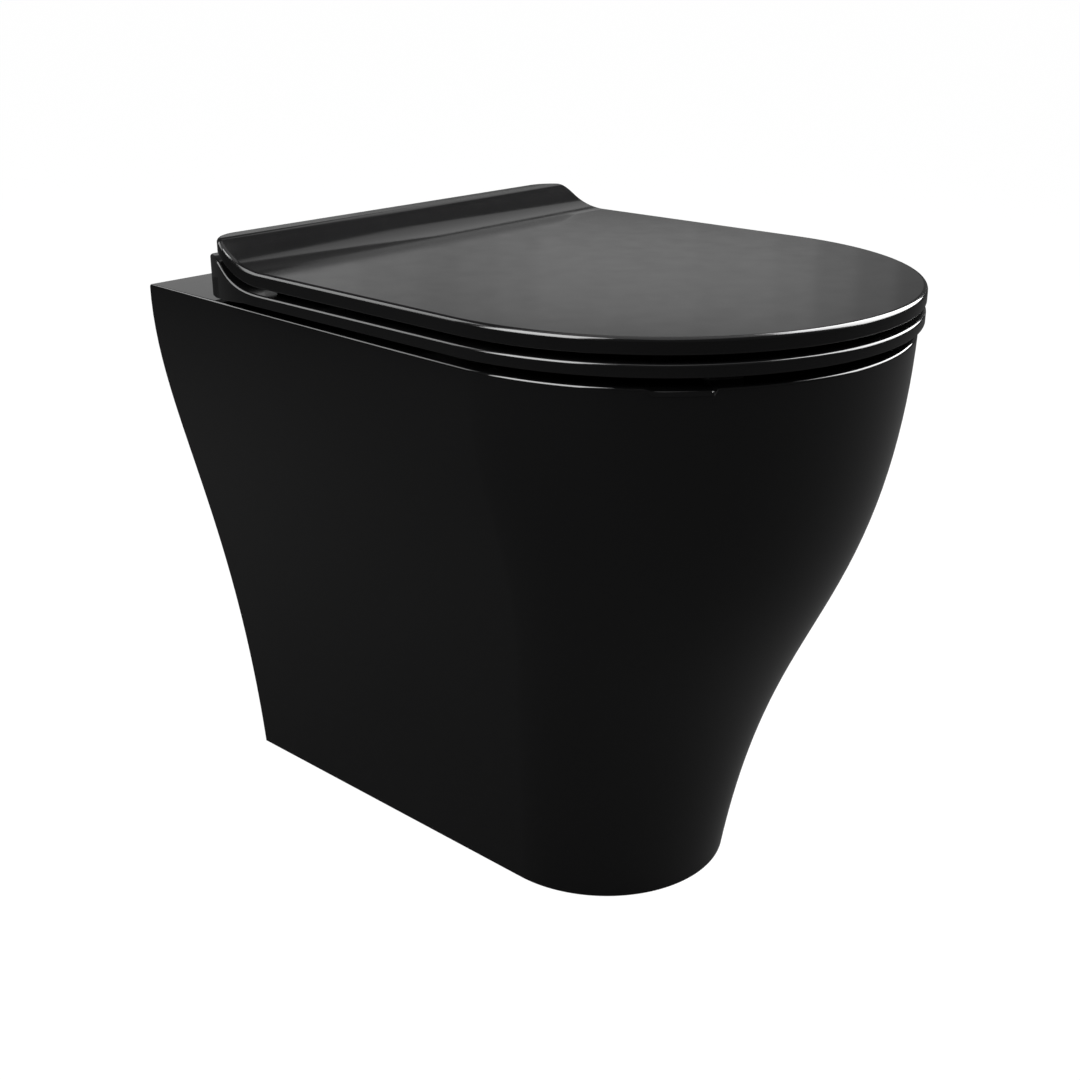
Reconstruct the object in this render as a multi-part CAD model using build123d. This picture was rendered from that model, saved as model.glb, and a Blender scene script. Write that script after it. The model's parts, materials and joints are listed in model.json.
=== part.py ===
"""Back to wall toilet: a shrouded ceramic pan with a hinged seat ring and lid.

Millimetres, +Z up. The origin is on the floor, under the middle of the outline.
+Y points to the wall and -Y to the front. A setback is a distance from the wall
towards the front.
"""
import math
import os

from build123d import *

# Pan, outside
rim_height = 414.2
foot_half_width = 93.9
shoulder_low = (112.8, 228.3)
shoulder_high = (170.0, 318.0)
rim_half_width = 167.0
foot_nose = 399.9
nose_low = (435.1, 221.2)
nose_high = (508.8, 212.9)
rim_nose = 516.0
front_swell = 10.0
shroud_steps = 8
rim_edge_radius = 1.6

# Pan, walls
shroud_wall = 11.0
deck_thickness = 14.0
bowl_wall = 10.0
trap_wall = 9.0

# Bowl, inside
bowl_floor_height = 175.0
bowl_side = ((138.0, 0.0), (138.0, 104.0), (75.0, 184.0), (42.0, 0.0))
bowl_front = ((475.0, 0.0), (475.0, 114.0), (400.0, 199.0), (368.0, 0.0))
bowl_rear = ((168.0, 0.0), (168.0, 114.0), (284.0, 114.0), (284.0, 0.0))
bowl_corner_top = 62.0
bowl_corner_low = 40.0
bowl_design_depth = 239.2
bowl_steps = 7

# Trapway and outlet
trap_radius = 38.0
trap_bend = 50.0
sump_setback = 325.0
dip_height = 150.0
crest_height = 178.0
outlet_height = 180.0
outlet_end = 55.0
spigot_radius = 51.0
spigot_length = 38.0

# Flush inlet
inlet_height = 340.0
inlet_radius = 27.5
inlet_end = 60.0
inlet_depth = 60.0
inlet_wall = 9.0
slot_width = 110.0
slot_height = 26.0
slot_reach = 12.0
seal_bore_radius = 25.2
seal_length = 30.0
seal_flange = 5.0
seal_flange_thickness = 4.0
splitter_thickness = 3.0
splitter_width = 78.0
splitter_lift = 2.0

# Seat ring and lid outline
seat_half_width = 182.2
seat_nose = 519.6
side_taper = 2.6
side_end = 142.0
ring_rear_taper = 18.5
ring_rear_setback = 73.5
ring_corner_radius = 5.0
lid_rear_taper = 3.6
lid_rear_setback = 86.5
lid_corner_radius = 27.5

# Seat ring and lid, heights
lid_thickness = 10.5
lid_top = 444.4
lid_step = (148.7, 30.9, 99.9, 9.1)
ring_step = (149.9, 48.0, 81.3, 20.7)
step_rise = 16.5
lid_gap = 4.7
ring_thickness = 8.3
block_bottom_height = 416.2
block_bottom_front = 130.0
block_bottom_rear = 84.0
lid_top_radius = 3.0
lid_low_radius = 1.5
ring_top_radius = 2.0
ring_low_chamfer = 0.6
lid_rim_width = 13.0
lid_recess_depth = 5.0
lid_recess_rear = 165.0
lid_recess_corner = 18.0

# Seat opening
opening_half_width = 115.0
opening_front = 452.0
opening_rear = 187.0
opening_corner = 70.0

# Hinges
axis_setback = 81.5
axis_height = 438.5
hinge_spacing = 155.0
pin_radius = 4.0
running_gap = 0.05
snug_gap = 0.02
clear_gap = 1.0
post_width = 18.0
post_boss_radius = 8.5
post_column = 16.0
stud_setback = 111.5
stud_radius = 4.0
stud_engagement = 11.0
stud_length = 60.0
plate_radius = 16.0
plate_thickness = 1.4
gasket_radius = 17.0
gasket_thickness = 0.8
deck_hole_radius = 7.5
sleeve_radius = 7.2
sleeve_length = 36.0
nut_radius = 7.5
nut_height = 8.0
knuckle_radius = 9.5
cheek_width = 6.0
cartridge_radius = 6.5
cartridge_length = 27.5
cartridge_end = 1.5
lug_wall = 1.5
lug_web = 8.2
pocket_wall = 5.0
pocket_half_width = 28.0

# Buffers
buffer_length = 26.0
buffer_width = 12.0
ring_buffer_angle = 35.0
ring_buffer_rear = 232.0
lid_buffer_radius = 6.0
lid_buffer_inset = 17.0
lid_buffer_angle = 48.0
lid_buffer_rear = 215.0

# Floor brackets
bracket_setback = 92.0
bracket_length = 40.0
bracket_height = 52.0
bracket_foot = 36.0
bracket_thickness = 6.0
bracket_face = 78.0
bracket_hole_radius = 4.5
bracket_hole_inset = 14.0
lug_height = 34.0
lug_length = 30.0
clamp_radius = 3.0
clamp_height = 32.0
clamp_bite = 12.0
clamp_head_radius = 6.0
clamp_head_thickness = 4.0
washer_radius = 8.0
washer_thickness = 1.5

wall_y = seat_nose / 2
side_half_width = seat_half_width - side_taper
overrun = 10.0
nick = 1.0
SIDES = (("left", -1), ("right", 1))


def at(setback):
    """Y of a place that lies this far in front of the wall."""
    return wall_y - setback


def bezier(points, t):
    """Point at t on a cubic curve with four control points."""
    weights = ((1 - t) ** 3, 3 * (1 - t) ** 2 * t, 3 * (1 - t) * t ** 2, t ** 3)
    return tuple(sum(w * p[i] for w, p in zip(weights, points)) for i in (0, 1))


def profile_at(points, height):
    """First coordinate of a rising curve where its height is this."""
    low, high = 0.0, 1.0
    for _ in range(50):
        middle = (low + high) / 2
        if bezier(points, middle)[1] < height:
            low = middle
        else:
            high = middle
    return bezier(points, (low + high) / 2)[0]


def shroud_half_width(height):
    points = ((foot_half_width, 0.0), shoulder_low, shoulder_high, (rim_half_width, rim_height))
    return profile_at(points, height)


def shroud_nose(height):
    points = ((foot_nose, 0.0), nose_low, nose_high, (rim_nose, rim_height))
    return profile_at(points, height)


def face_of(edges):
    return Face(Wire(edges))


def tangent_side(rear_width, rear, radius, centre):
    """Where a line from the rear corner touches the front circle, as (x, setback)."""
    run = centre - rear
    lean = math.atan2(run, rear_width)
    angle = lean - math.acos(min(1.0, radius / math.hypot(rear_width, run)))
    return radius * math.cos(angle), centre - radius * math.sin(angle)


def shroud_section(height, inset, rear):
    """Outline of the shroud: open-angled sides that meet a round front."""
    side = shroud_half_width(height) - inset
    share = (shroud_half_width(height) - foot_half_width) / (rim_half_width - foot_half_width)
    radius = side + front_swell * share
    nose = shroud_nose(height) - inset
    centre = nose - radius
    x, setback = tangent_side(side, 0.0, radius, centre)
    slope = (x - side) / setback
    back = side + slope * rear
    start, end = (x, at(setback), height), (-x, at(setback), height)
    return face_of([
        Line((back, at(rear), height), start),
        ThreePointArc(start, (0, at(nose), height), end),
        Line(end, (-back, at(rear), height)),
        Line((-back, at(rear), height), (back, at(rear), height)),
    ])


def shroud_solid(inset, rear, top):
    heights = [top * i / shroud_steps for i in range(shroud_steps + 1)]
    return loft([shroud_section(h, inset, rear) for h in heights])


def egg_section(height, half_width, front, rear, corner):
    """Outline of an opening: round front, straight sides, rounded rear corners."""
    centre = front - half_width
    turn = corner * (1 - math.sqrt(0.5))
    inner = half_width - corner
    straight = rear + corner
    edges = [
        ThreePointArc((half_width, at(centre), height), (0, at(front), height),
                      (-half_width, at(centre), height)),
        Line((-half_width, at(centre), height), (-half_width, at(straight), height)),
        ThreePointArc((-half_width, at(straight), height),
                      (turn - half_width, at(rear + turn), height), (-inner, at(rear), height)),
        Line((-inner, at(rear), height), (inner, at(rear), height)),
        ThreePointArc((inner, at(rear), height),
                      (half_width - turn, at(rear + turn), height),
                      (half_width, at(straight), height)),
        Line((half_width, at(straight), height), (half_width, at(centre), height)),
    ]
    return face_of(edges)


def bowl_curve(points, height):
    """A bowl profile, whose middle heights are drops from the rim and rises from the floor."""
    top, drop, rise, low = points
    fall = rim_height - bowl_floor_height
    scale = fall / bowl_design_depth
    path = ((low[0], bowl_floor_height),
            (rise[0], rim_height - rise[1] * scale),
            (drop[0], rim_height - drop[1] * scale),
            (top[0], rim_height))
    return profile_at(path, height)


def bowl_section(height, offset):
    share = (height - bowl_floor_height) / (rim_height - bowl_floor_height)
    corner = bowl_corner_low + (bowl_corner_top - bowl_corner_low) * share
    return egg_section(
        height,
        bowl_curve(bowl_side, height) + offset,
        bowl_curve(bowl_front, height) + offset,
        bowl_curve(bowl_rear, height) - offset,
        corner + offset,
    )


def bowl_solid(offset, top):
    fall = top - bowl_floor_height
    heights = [bowl_floor_height + fall * i / bowl_steps for i in range(bowl_steps + 1)]
    return loft([bowl_section(h, offset) for h in heights])


def trap_path(start_height):
    """Centre line of the trapway, from the bowl floor over the crest to the outlet."""
    drop = (outlet_height - crest_height) / trap_bend
    turn = math.acos((drop + 1) / 2)
    rise = sump_setback - 2 * trap_bend
    crest = rise - trap_bend
    foot = crest - 2 * trap_bend * math.sin(turn)

    def spot(setback, height):
        return (0, at(setback), height)

    def around(centre, height, angle):
        return spot(centre + trap_bend * math.cos(angle), height + trap_bend * math.sin(angle))

    last = math.pi / 2 + turn
    fall_centre = crest - 2 * trap_bend * math.sin(turn)
    fall_height = crest_height + 2 * trap_bend * math.cos(turn)
    edges = [
        Line(spot(sump_setback, start_height), spot(sump_setback, dip_height)),
        ThreePointArc(spot(sump_setback, dip_height),
                      around(sump_setback - trap_bend, dip_height, -math.pi / 2),
                      spot(rise, dip_height)),
        Line(spot(rise, dip_height), spot(rise, crest_height)),
        ThreePointArc(spot(rise, crest_height), around(crest, crest_height, last / 2),
                      around(crest, crest_height, last)),
        ThreePointArc(around(crest, crest_height, last),
                      around(fall_centre, fall_height, (last - math.pi * 1.5) / 2),
                      spot(foot, outlet_height)),
        Line(spot(foot, outlet_height), spot(outlet_end, outlet_height)),
    ]
    return edges


def trap_tube(radius, start_height, past_end):
    edges = trap_path(start_height)
    if past_end:
        end = edges[-1] @ 1
        edges.append(Line(end, (end.X, end.Y + past_end, end.Z)))
    path = Wire(edges)
    mouth = Plane(origin=path @ 0, z_dir=path % 0) * Circle(radius)
    return sweep(mouth, path=path)


def tube_y(radius, setback, length, x, height):
    """A round bar along Y that starts at a setback and runs to the front."""
    plane = Plane(origin=(x, at(setback), height), z_dir=(0, -1, 0))
    return extrude(plane * Circle(radius), length)


def tube_x(radius, start, length, setback, height):
    plane = Plane(origin=(start, at(setback), height), z_dir=(1, 0, 0))
    return extrude(plane * Circle(radius), length)


def tube_z(radius, x, setback, bottom, length):
    plane = Plane(origin=(x, at(setback), bottom), z_dir=(0, 0, 1))
    return extrude(plane * Circle(radius), length)


def block(low_x, high_x, near, far, bottom, top):
    """A box between two x, two setbacks and two heights."""
    solid = Box(high_x - low_x, far - near, top - bottom)
    return Pos((low_x + high_x) / 2, at((near + far) / 2), (bottom + top) / 2) * solid


def side_plate(points, low_x, high_x):
    """A flat shape given by (setback, height) points, as thick as the x range."""
    outline = Polyline(*[(low_x, at(s), h) for s, h in points], close=True)
    return extrude(face_of(outline.edges()), high_x - low_x, dir=(1, 0, 0))


def horn_front():
    return inlet_end + inlet_depth


def casting():
    """Outside of the ceramic, solid, with its rear cut flat at the wall."""
    solid = shroud_solid(0.0, -overrun, rim_height)
    wide = 2 * rim_half_width
    solid -= block(-wide, wide, -2 * overrun, 0.0, -overrun, rim_height + overrun)
    top_edges = solid.faces().sort_by(Axis.Z)[-1].edges()
    return fillet(top_edges, rim_edge_radius)


def deck_under():
    return rim_height - deck_thickness


def clamp_lug(sign):
    """Inner lug on the shroud that takes the clamp screw."""
    inner, outer = bracket_face, foot_half_width - shroud_wall / 2
    low, high = sorted((sign * inner, sign * outer))
    near = bracket_setback - lug_length / 2
    bottom = clamp_height - lug_height / 2
    return block(low, high, near, near + lug_length, bottom, bottom + lug_height)


def make_shroud(solid):
    """The skirt of the casting, from the floor to the deck, open at the wall."""
    skirt = split(solid, bisect_by=Plane.XY.offset(deck_under()), keep=Keep.BOTTOM)
    skirt -= shroud_solid(shroud_wall, -overrun, deck_under())
    for _, sign in SIDES:
        skirt += clamp_lug(sign)
        start = sign * bracket_face - (clamp_bite if sign < 0 else 0)
        radius = clamp_radius + running_gap
        skirt -= tube_x(radius, start, clamp_bite, bracket_setback, clamp_height)
    return skirt


def make_deck(solid):
    """The flat top of the casting, with the bowl's mouth and the two fixing holes."""
    deck = split(solid, bisect_by=Plane.XY.offset(deck_under()), keep=Keep.TOP)
    deck -= bowl_solid(0.0, rim_height)
    for _, sign in SIDES:
        x = sign * hinge_spacing / 2
        deck -= tube_z(deck_hole_radius, x, stud_setback, deck_under(), deck_thickness)
    return deck


def flush_slot(wall):
    """The slot from the flush horn into the bowl, grown by a wall."""
    half = slot_width / 2 + wall
    rise = slot_height / 2 + wall
    far = bowl_curve(bowl_rear, inlet_height)
    if not wall:
        far += slot_reach
    return block(-half, half, horn_front() - wall, far, inlet_height - rise, inlet_height + rise)


def make_bowl():
    """The bowl under the deck, down to the mouth of the trapway."""
    shell = bowl_solid(bowl_wall, deck_under()) - bowl_solid(0.0, rim_height)
    return shell - flush_slot(0.0)


def make_trapway():
    """The trapway from the bowl's floor, over the crest, to the outlet spigot."""
    outer = trap_tube(trap_radius + trap_wall, bowl_floor_height, 0.0)
    outer += tube_y(spigot_radius, outlet_end, spigot_length, 0, outlet_height)
    return outer - trap_tube(trap_radius, bowl_floor_height + overrun, overrun)


def make_flush_horn():
    """The flush inlet behind the bowl, which opens into the slot."""
    length = bowl_curve(bowl_rear, inlet_height) - inlet_end
    horn = tube_y(inlet_radius + inlet_wall, inlet_end, length, 0, inlet_height)
    horn += flush_slot(inlet_wall)
    horn -= bowl_solid(bowl_wall, deck_under())
    horn -= tube_y(inlet_radius, inlet_end, inlet_depth, 0, inlet_height)
    return horn - flush_slot(0.0)


def seat_face(height, rear_half_width, rear_setback, corner_radius):
    """D-shaped outline whose sides draw in behind side_end, with rounded rear corners."""
    centre = seat_nose - seat_half_width
    x, setback = tangent_side(side_half_width, side_end, seat_half_width, centre)
    lead = ((side_half_width - x), at(side_end) - at(setback))
    edges = []
    front = (x, at(setback), height), (0, at(seat_nose), height), (-x, at(setback), height)
    edges.append(ThreePointArc(*front))
    for sign in (-1, 1):
        joint = (sign * x, at(setback), height)
        end = (sign * side_half_width, at(side_end), height)
        corner = (sign * rear_half_width, at(rear_setback), height)
        edges.append(Line(joint, end))
        edges.append(TangentArc(end, corner, tangent=(sign * lead[0], lead[1], 0)))
    left = (-rear_half_width, at(rear_setback), height)
    edges.append(Line(left, (rear_half_width, at(rear_setback), height)))
    face = face_of(edges)
    rear = face.vertices().sort_by(Axis.Y)[-2:]
    return fillet(rear, corner_radius)


def step_curve(low, step):
    """The S that rises from the flat to the ridge, by its foot, head and their pulls."""
    foot, foot_pull, head, head_pull = step
    x = -seat_half_width - overrun
    return Bezier(
        (x, at(foot), low),
        (x, at(foot - foot_pull), low),
        (x, at(head + head_pull), low + step_rise),
        (x, at(head), low + step_rise),
    )


def stepped_solid(top_low, step, bottom_edges):
    """A solid under the stepped top, closed by the edges of its underside."""
    x = -seat_half_width - overrun
    nose = seat_nose + overrun
    rear = ring_rear_setback - overrun
    foot, _, head, _ = step
    high = top_low + step_rise
    edges = [Line((x, at(nose), top_low), (x, at(foot), top_low)), step_curve(top_low, step)]
    edges.append(Line((x, at(head), high), (x, at(rear), high)))
    edges += bottom_edges(x, nose, rear)
    return extrude(face_of(edges), 2 * (seat_half_width + overrun), dir=(1, 0, 0))


def lid_under(x, nose, rear):
    low = lid_top - lid_thickness
    foot, _, head, _ = lid_step
    return [
        Line((x, at(rear), lid_top + step_rise), (x, at(rear), low + step_rise)),
        Line((x, at(rear), low + step_rise), (x, at(head), low + step_rise)),
        step_curve(low, lid_step),
        Line((x, at(foot), low), (x, at(nose), low)),
        Line((x, at(nose), low), (x, at(nose), lid_top)),
    ]


def ring_top():
    return lid_top - lid_thickness - lid_gap


def ring_under(x, nose, rear):
    flat = ring_top() - ring_thickness
    points = [(rear, ring_top() + step_rise), (rear, block_bottom_height),
              (block_bottom_rear, block_bottom_height), (block_bottom_front, flat),
              (nose, flat), (nose, ring_top())]
    spots = [(x, at(s), h) for s, h in points]
    return [Line(a, b) for a, b in zip(spots, spots[1:])]


def lug_span():
    """Inner and outer x of a lid lug, beside the post and its outer cheek."""
    inner = hinge_spacing / 2 + post_width / 2 + clear_gap + cheek_width + clear_gap
    return inner, inner + lug_wall + cartridge_length


def edges_to_sides(solid, up):
    """Edges where the faces that look up, or down, meet the upright sides."""
    flats = [f for f in solid.faces() if f.normal_at().Z * up > 0.3]
    sides = [f for f in solid.faces() if abs(f.normal_at().Z) < 0.05]
    upright = [e for f in sides for e in f.edges()]
    return [e for f in flats for e in f.edges() if any(e.is_same(other) for other in upright)]


def mirrored(low, high, sign):
    return tuple(sorted((sign * low, sign * high)))


def make_lid():
    low = lid_top - lid_thickness
    outline = seat_face(low, seat_half_width - lid_rear_taper, lid_rear_setback, lid_corner_radius)
    lid = extrude(outline, lid_thickness + step_rise, dir=(0, 0, 1))
    lid = lid & stepped_solid(lid_top, lid_step, lid_under)
    lid = fillet(edges_to_sides(lid, 1), lid_top_radius)
    lid = fillet(edges_to_sides(lid, -1), lid_low_radius)
    recess = egg_section(low - nick, seat_half_width - lid_rim_width, seat_nose - lid_rim_width,
                         lid_recess_rear, lid_recess_corner)
    lid -= extrude(recess, lid_recess_depth + nick, dir=(0, 0, 1))
    near, far = axis_setback, lid_rear_setback + lug_web
    inner, outer = lug_span()
    for _, sign in SIDES:
        a, b = mirrored(inner, outer, sign)
        lid += tube_x(knuckle_radius, a, b - a, axis_setback, axis_height)
        lid += block(a, b, near, far, axis_height, low + step_rise + nick)
        bore, _ = mirrored(inner + lug_wall, outer + nick, sign)
        length = cartridge_length + nick
        lid -= tube_x(cartridge_radius + running_gap, bore, length, axis_setback, axis_height)
        start, _ = mirrored(inner - nick, inner + lug_wall + nick, sign)
        lid -= tube_x(pin_radius + running_gap, start, lug_wall + 2 * nick, axis_setback, axis_height)
    return lid


def make_seat_ring():
    outline = seat_face(block_bottom_height, seat_half_width - ring_rear_taper,
                        ring_rear_setback, ring_corner_radius)
    ring = extrude(outline, ring_top() + step_rise - block_bottom_height, dir=(0, 0, 1))
    ring = ring & stepped_solid(ring_top(), ring_step, ring_under)
    hole = egg_section(block_bottom_height, opening_half_width, opening_front, opening_rear,
                       opening_corner)
    ring -= extrude(hole, ring_top() + step_rise - block_bottom_height, dir=(0, 0, 1))
    ring = fillet(edges_to_sides(ring, 1), ring_top_radius)
    ring = chamfer(edges_to_sides(ring, -1), ring_low_chamfer)

    post = hinge_spacing / 2
    half = post_width / 2 + clear_gap
    inner, outer = lug_span()
    slot_far = stud_setback + post_column / 2 + clear_gap
    past = ring_rear_setback - overrun
    high = lid_top + step_rise
    for _, sign in SIDES:
        a, b = mirrored(post - half - cartridge_length - cartridge_end, post - half, sign)
        ring += tube_x(knuckle_radius, a, b - a, axis_setback, axis_height)
        a, b = mirrored(post + half, post + half + cheek_width, sign)
        ring += tube_x(knuckle_radius, a, b - a, axis_setback, axis_height)
    for _, sign in SIDES:
        a, b = mirrored(post - half, post + half, sign)
        ring -= block(a, b, past, slot_far, block_bottom_height - nick, high)
        a, b = mirrored(inner - clear_gap, outer + clear_gap, sign)
        front = lid_rear_setback + lug_web + clear_gap
        ring -= block(a, b, past, front, axis_height - knuckle_radius - clear_gap, high)
        a, _ = mirrored(post - half - cartridge_length, post - half, sign)
        radius = cartridge_radius + running_gap
        ring -= tube_x(radius, a, cartridge_length, axis_setback, axis_height)
        a, _ = mirrored(post + half, post + half + cheek_width, sign)
        ring -= tube_x(pin_radius + running_gap, a, cheek_width, axis_setback, axis_height)
    pocket_top = ring_top() + step_rise - pocket_wall
    ring -= block(-pocket_half_width, pocket_half_width, ring_rear_setback + pocket_wall,
                  ring_step[2] + pocket_wall, block_bottom_height - nick, pocket_top)
    return ring


def plate_top():
    return rim_height + gasket_thickness + plate_thickness


def make_hinge_post(sign):
    """Post that leans back from the deck bolt to carry the hinge pin."""
    x = sign * hinge_spacing / 2
    front = stud_setback + post_column / 2
    back = stud_setback - post_column / 2
    low = axis_height - post_boss_radius
    a, b = x - post_width / 2, x + post_width / 2
    outline = [(axis_setback, low), (back, low), (back, plate_top()), (front, plate_top()),
               (front, low + pin_radius), (stud_setback, axis_height + pin_radius / 2),
               (axis_setback, axis_height + post_boss_radius)]
    post = side_plate(outline, a, b)
    post += tube_x(post_boss_radius, a, b - a, axis_setback, axis_height)
    post -= tube_x(pin_radius + snug_gap, a, b - a, axis_setback, axis_height)
    post -= tube_z(stud_radius + snug_gap, x, stud_setback, plate_top(), stud_engagement)
    return post


def make_hinge_plate(sign):
    x = sign * hinge_spacing / 2
    bottom = rim_height + gasket_thickness
    plate = tube_z(plate_radius, x, stud_setback, bottom, plate_thickness)
    return plate - tube_z(stud_radius + snug_gap, x, stud_setback, bottom, plate_thickness)


def both(make):
    """One group of separate solids, a left and a right one."""
    return Compound(children=[Solid(make(sign).solid().wrapped) for _, sign in SIDES])


def gasket(sign):
    x = sign * hinge_spacing / 2
    ring = tube_z(gasket_radius, x, stud_setback, rim_height, gasket_thickness)
    return ring - tube_z(sleeve_radius, x, stud_setback, rim_height, gasket_thickness)


def seat_bolt(sign):
    x = sign * hinge_spacing / 2
    top = plate_top() + stud_engagement
    bolt = tube_z(stud_radius, x, stud_setback, top - stud_length, stud_length)
    return chamfer(bolt.edges(), stud_radius / 6)


def sleeve(sign):
    x = sign * hinge_spacing / 2
    bottom = rim_height - sleeve_length
    tube = tube_z(sleeve_radius, x, stud_setback, bottom, sleeve_length)
    return tube - tube_z(stud_radius + snug_gap, x, stud_setback, bottom, sleeve_length)


def sleeve_nut(sign):
    x = sign * hinge_spacing / 2
    bottom = rim_height - sleeve_length - nut_height
    plane = Plane(origin=(x, at(stud_setback), bottom), z_dir=(0, 0, 1))
    nut = extrude(plane * RegularPolygon(nut_radius, 6), nut_height)
    return nut - tube_z(stud_radius + snug_gap, x, stud_setback, bottom, nut_height)


def pin_span():
    """Inner and outer x of a hinge pin, inside both cartridges."""
    inner = hinge_spacing / 2 - post_width / 2 - clear_gap - cartridge_length + cartridge_end
    return inner + clear_gap, lug_span()[1] - cartridge_end - clear_gap


def make_hinge_pin(sign):
    inner, outer = pin_span()
    a, b = mirrored(inner, outer, sign)
    pin = tube_x(pin_radius, a, b - a, axis_setback, axis_height)
    return chamfer(pin.edges(), pin_radius / 8)


def cartridge(open_x, closed_x, capped):
    """A round cartridge with a bore from its open end, closed at the other if capped."""
    low, high = sorted((open_x, closed_x))
    body = tube_x(cartridge_radius, low, high - low, axis_setback, axis_height)
    cap = cartridge_end if capped else 0.0
    if closed_x > open_x:
        bore_low, bore_high = open_x, closed_x - cap
    else:
        bore_low, bore_high = closed_x + cap, open_x
    return body - tube_x(pin_radius + running_gap, bore_low, bore_high - bore_low,
                         axis_setback, axis_height)


def ring_cartridge(sign, capped):
    open_x = hinge_spacing / 2 - post_width / 2 - clear_gap
    return cartridge(sign * open_x, sign * (open_x - cartridge_length), capped)


def lid_cartridge(sign, capped):
    inner, outer = lug_span()
    return cartridge(sign * (inner + lug_wall), sign * outer, capped)


def pad(x, setback, turn, bottom, height):
    """A rounded rubber pad, turned about Z by degrees."""
    face = SlotOverall(buffer_length, buffer_width)
    return Pos(x, at(setback), bottom) * Rot(0, 0, turn) * extrude(face, height)


def make_ring_buffers():
    """Four pads halfway across the band of the deck around the bowl."""
    height = ring_top() - ring_thickness - rim_height
    bowl_half_width = bowl_side[0][0]
    centre = bowl_front[0][0] - bowl_half_width
    path = (bowl_half_width + rim_half_width + front_swell) / 2
    side = (bowl_half_width + rim_half_width) / 2
    angle = math.radians(ring_buffer_angle)
    pads = []
    for _, sign in SIDES:
        x = sign * path * math.sin(angle)
        front = centre + path * math.cos(angle)
        pads.append(pad(x, front, sign * ring_buffer_angle, rim_height, height))
        pads.append(pad(sign * side, ring_buffer_rear, 90, rim_height, height))
    return Compound(children=pads)


def make_lid_buffers():
    centre = seat_nose - seat_half_width
    path = seat_half_width - lid_rim_width - lid_buffer_inset
    angle = math.radians(lid_buffer_angle)
    depth = lid_gap + lid_recess_depth
    discs = []
    for _, sign in SIDES:
        x = sign * path * math.sin(angle)
        front = centre + path * math.cos(angle)
        discs.append(tube_z(lid_buffer_radius, x, front, ring_top(), depth))
        discs.append(tube_z(lid_buffer_radius, sign * path, lid_buffer_rear,
                            ring_top(), depth))
    return Compound(children=[Solid(disc.solid().wrapped) for disc in discs])


def make_flush_inlet_seal():
    outer = inlet_radius - running_gap
    seal = tube_y(outer, inlet_end, seal_length, 0, inlet_height)
    start = inlet_end - seal_flange_thickness
    seal += tube_y(outer + seal_flange, start, seal_flange_thickness, 0, inlet_height)
    length = seal_length + seal_flange_thickness
    return seal - tube_y(seal_bore_radius, start, length, 0, inlet_height)


def make_flush_splitter():
    """A shield across the mouth of the flush slot, held by a fin in the slot."""
    bowl_back = bowl_curve(bowl_rear, inlet_height)
    rise = slot_height / 2 - splitter_lift
    near = bowl_back - splitter_thickness
    shield = block(-splitter_width / 2, splitter_width / 2, near, bowl_back,
                   inlet_height - rise, inlet_height + rise)
    fin = block(-splitter_thickness / 2, splitter_thickness / 2, horn_front() + splitter_lift, near,
                inlet_height - slot_height / 2, inlet_height + slot_height / 2)
    return shield + fin


def make_floor_bracket(sign):
    """L-shaped bracket: a foot on the floor and an upright against the shroud's lug."""
    near = bracket_setback - bracket_length / 2
    far = near + bracket_length
    outer = bracket_face
    a, b = mirrored(outer - bracket_foot, outer, sign)
    foot = block(a, b, near, far, 0.0, bracket_thickness)
    a, b = mirrored(outer - bracket_thickness, outer, sign)
    bracket = foot + block(a, b, near, far, 0.0, bracket_height)
    hole_x = sign * (outer - bracket_foot + bracket_hole_inset)
    bracket -= tube_z(bracket_hole_radius, hole_x, bracket_setback, 0.0, bracket_thickness)
    start, _ = mirrored(outer - bracket_thickness, outer, sign)
    radius = clamp_radius + running_gap
    return bracket - tube_x(radius, start, bracket_thickness, bracket_setback, clamp_height)


def clamp_washer(sign):
    face = bracket_face - bracket_thickness
    start, _ = mirrored(face - washer_thickness, face, sign)
    disc = tube_x(washer_radius, start, washer_thickness, bracket_setback, clamp_height)
    radius = clamp_radius + running_gap
    return disc - tube_x(radius, start, washer_thickness, bracket_setback, clamp_height)


def clamp_screw(sign):
    head_face = bracket_face - bracket_thickness - washer_thickness
    length = bracket_thickness + washer_thickness + clamp_bite - clear_gap
    a, _ = mirrored(head_face, head_face + length, sign)
    shank = tube_x(clamp_radius, a, length, bracket_setback, clamp_height)
    a, _ = mirrored(head_face - clamp_head_thickness, head_face, sign)
    plane = Plane(origin=(a, at(bracket_setback), clamp_height), z_dir=(1, 0, 0))
    head = extrude(plane * RegularPolygon(clamp_head_radius, 6), clamp_head_thickness)
    return shank + head


os.makedirs("parts", exist_ok=True)
whole = casting()

pieces = {
    "shroud": make_shroud(whole),
    "deck": make_deck(whole),
    "bowl": make_bowl(),
    "trapway": make_trapway(),
    "flush_horn": make_flush_horn(),
    "seat_ring": make_seat_ring(),
    "lid": make_lid(),
    "hinge_gaskets": both(gasket),
    "seat_bolts": both(seat_bolt),
    "top_fix_sleeves": both(sleeve),
    "sleeve_nuts": both(sleeve_nut),
    "seat_damper": ring_cartridge(1, True),
    "seat_bush": ring_cartridge(-1, False),
    "lid_damper": lid_cartridge(-1, True),
    "lid_bush": lid_cartridge(1, False),
    "ring_buffers": make_ring_buffers(),
    "lid_buffers": make_lid_buffers(),
    "flush_inlet_seal": make_flush_inlet_seal(),
    "flush_splitter": make_flush_splitter(),
    "clamp_washers": both(clamp_washer),
    "clamp_screws": both(clamp_screw),
}
for side, sign in SIDES:
    pieces["hinge_post_" + side] = make_hinge_post(sign)
    pieces["hinge_plate_" + side] = make_hinge_plate(sign)
    pieces["hinge_pin_" + side] = make_hinge_pin(sign)
    pieces["floor_bracket_" + side] = make_floor_bracket(sign)

for name, piece in pieces.items():
    export_step(piece, "parts/" + name + ".step")
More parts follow.
